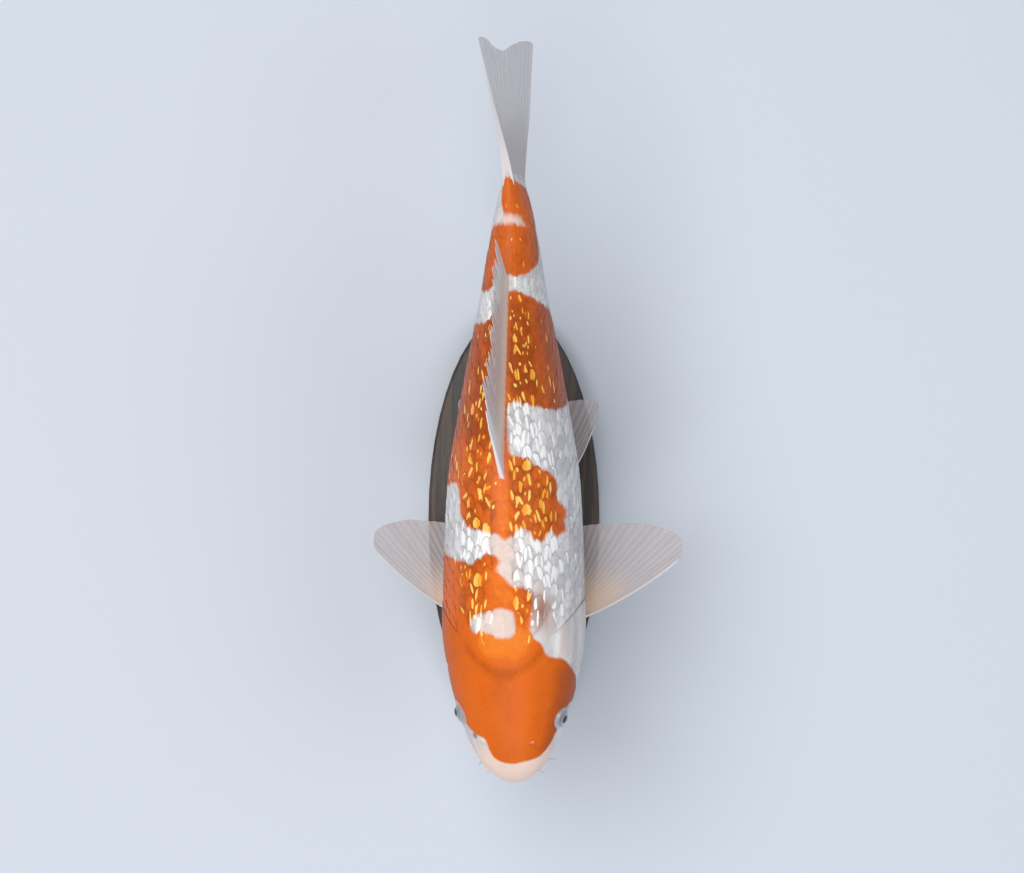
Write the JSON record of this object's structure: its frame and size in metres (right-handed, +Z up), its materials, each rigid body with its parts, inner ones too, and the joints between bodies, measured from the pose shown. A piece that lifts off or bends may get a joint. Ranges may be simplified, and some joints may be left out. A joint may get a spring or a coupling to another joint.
{
  "type": "koi carp on a display stand",
  "caption": "Life-size orange and white koi carp with sparkling scales and spread paired fins, held by rods over a low oval base.",
  "frame": {"origin": "centre of the underside of the stand's oval base, on the floor", "axes": "+Y along the fish from snout to tail, +Z up, +X towards the fish's left side"},
  "size_m": [0.1688, 0.4014, 0.1794],
  "materials": {
    "orange_skin": "wet gloss",
    "white_skin": "wet gloss",
    "fin": "translucent satin",
    "eye": "polished",
    "dark_wood": "satin",
    "steel": "satin"
  },
  "bodies": {
    "root": {"head": "orange_skin", "gill_cover_left": "orange_skin", "gill_cover_right": "orange_skin", "trunk": "orange_skin", "tail_stalk": "orange_skin", "eye_left": "eye", "eye_right": "eye", "barbel_front_left": "white_skin", "barbel_front_right": "white_skin", "barbel_rear_left": "white_skin", "barbel_rear_right": "white_skin", "pectoral_fin_left": "fin", "pectoral_fin_right": "fin", "pelvic_fin_left": "fin", "pelvic_fin_right": "fin", "dorsal_fin": "fin", "anal_fin": "fin", "tail_fin": "fin", "stand_base": "dark_wood", "stand_rod_front": "steel", "stand_rod_rear": "steel"}
  },
  "joints": []
}
